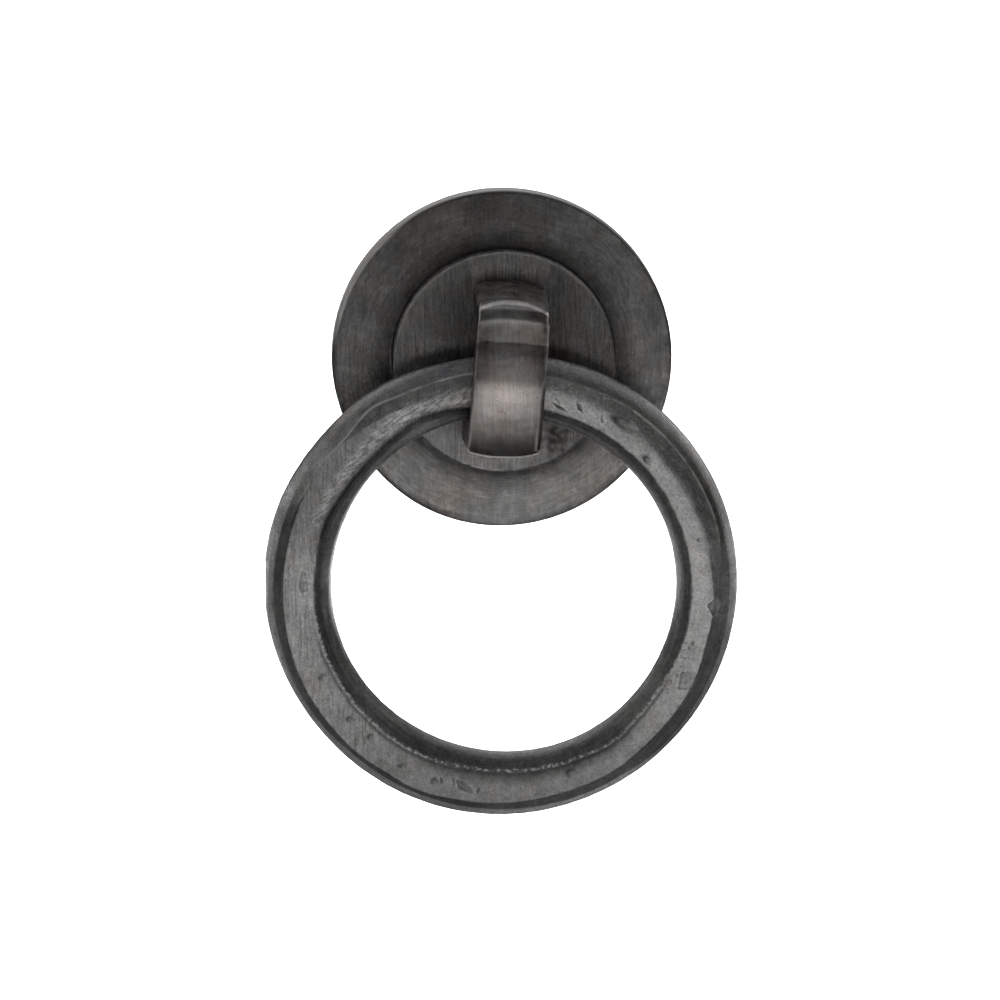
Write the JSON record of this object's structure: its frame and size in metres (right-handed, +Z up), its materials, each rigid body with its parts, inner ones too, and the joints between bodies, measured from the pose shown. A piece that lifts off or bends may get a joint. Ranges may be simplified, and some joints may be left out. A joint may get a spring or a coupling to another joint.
{
  "type": "ring drop pull",
  "caption": "Round ring pull hanging from a broad strap on a round stepped backplate, fixed by a screw from behind.",
  "frame": {"origin": "centre of the rosette's flat back, at the mouth of the mounting thread", "axes": "+Z up, +Y into the door or drawer front, the pull stands out towards -Y"},
  "size_m": [0.0572, 0.0186, 0.0757],
  "materials": {
    "rosette": "dark brushed bronze patina",
    "strap": "dark bronze patina, brushed and burnished",
    "ring": "dark bronze patina, hand filed and hammered",
    "screws": "darkened, plain turned"
  },
  "bodies": {
    "base": {"rosette": "rosette", "strap": "strap", "strap_screws": "screws"},
    "ring": {"ring": "ring"}
  },
  "joints": [
    {"name": "ring_swing", "type": "hinge", "parent": "base", "child": "ring", "pos_m": [-0.00042, -0.00981, -0.00168], "axis": [-1, 0, 0], "range_deg": [-7, 187]}
  ]
}
